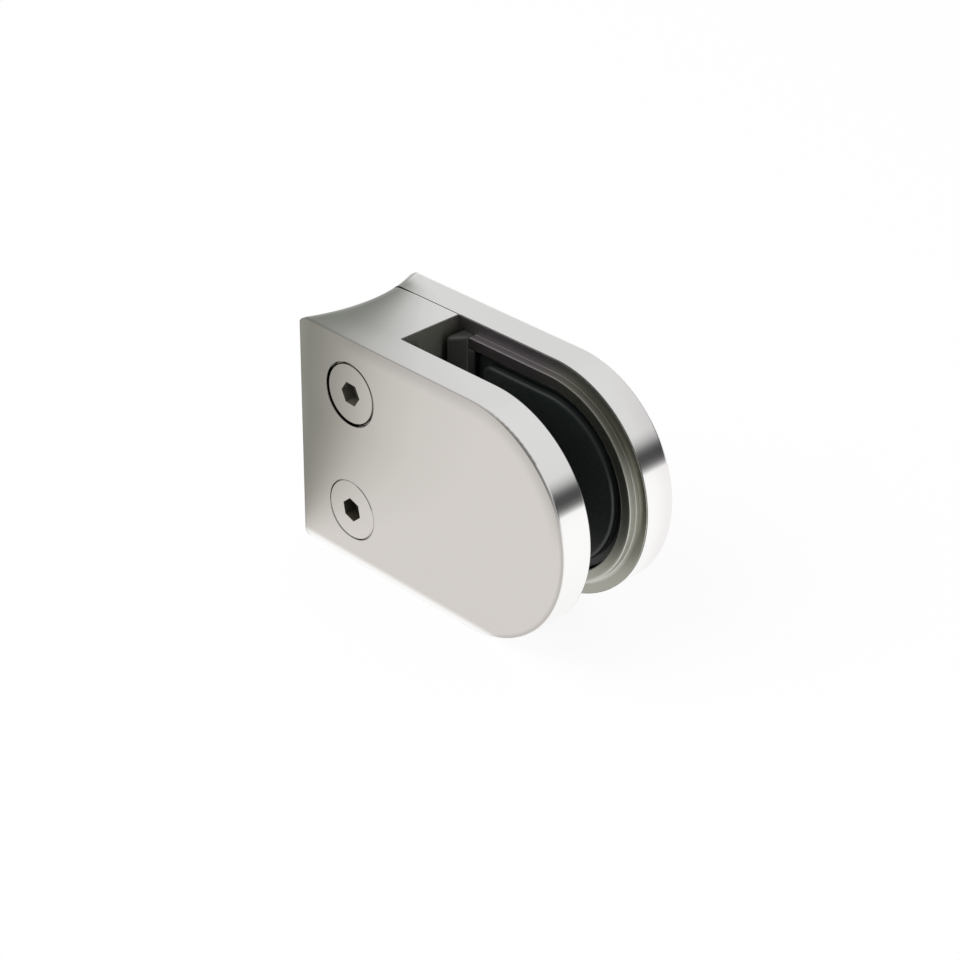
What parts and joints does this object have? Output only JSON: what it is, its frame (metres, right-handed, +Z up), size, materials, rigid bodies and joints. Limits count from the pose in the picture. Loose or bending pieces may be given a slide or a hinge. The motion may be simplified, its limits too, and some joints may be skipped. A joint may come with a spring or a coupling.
{
  "type": "glass panel clamp",
  "caption": "D-shaped steel clamp that seats on a round post and grips the edge of a glass panel between rubber gaskets, drawn together by countersunk screws.",
  "frame": {"origin": "where the axis of the bolt into the post meets the bottom of the saddle, at half the clamp's height and width", "axes": "+X from the post along the glass, +Y across the glass from the screw side to the cover, +Z up along the post"},
  "size_m": [0.065, 0.027, 0.045],
  "materials": {
    "satin_steel": "fine satin ground",
    "screw_steel": "satin turned",
    "black_rubber": "matt moulded"
  },
  "bodies": {
    "body": {"clamp_body": "satin_steel", "near_gasket": "black_rubber"},
    "cover": {"cover_plate": "satin_steel", "far_gasket": "black_rubber"},
    "upper_screw": {"upper_screw": "screw_steel"},
    "lower_screw": {"lower_screw": "screw_steel"}
  },
  "joints": [
    {"name": "upper_screw_turn", "type": "hinge", "parent": "body", "child": "upper_screw", "pos_m": [0.0105, 0, 0.0117], "axis": [0, -1, 0], "range_deg": [0, 1440]},
    {"name": "lower_screw_turn", "type": "hinge", "parent": "body", "child": "lower_screw", "pos_m": [0.0105, 0, -0.0117], "axis": [0, -1, 0], "range_deg": [0, 1440]},
    {"name": "cover_slide", "type": "slide", "parent": "body", "child": "cover", "axis": [0, 1, 0], "range_m": [0, 0.004]}
  ],
  "couplings": [
    {"joint": "upper_screw_turn", "follows": "cover_slide", "rad_per_m": 6283.2},
    {"joint": "lower_screw_turn", "follows": "cover_slide", "rad_per_m": 6283.2}
  ]
}
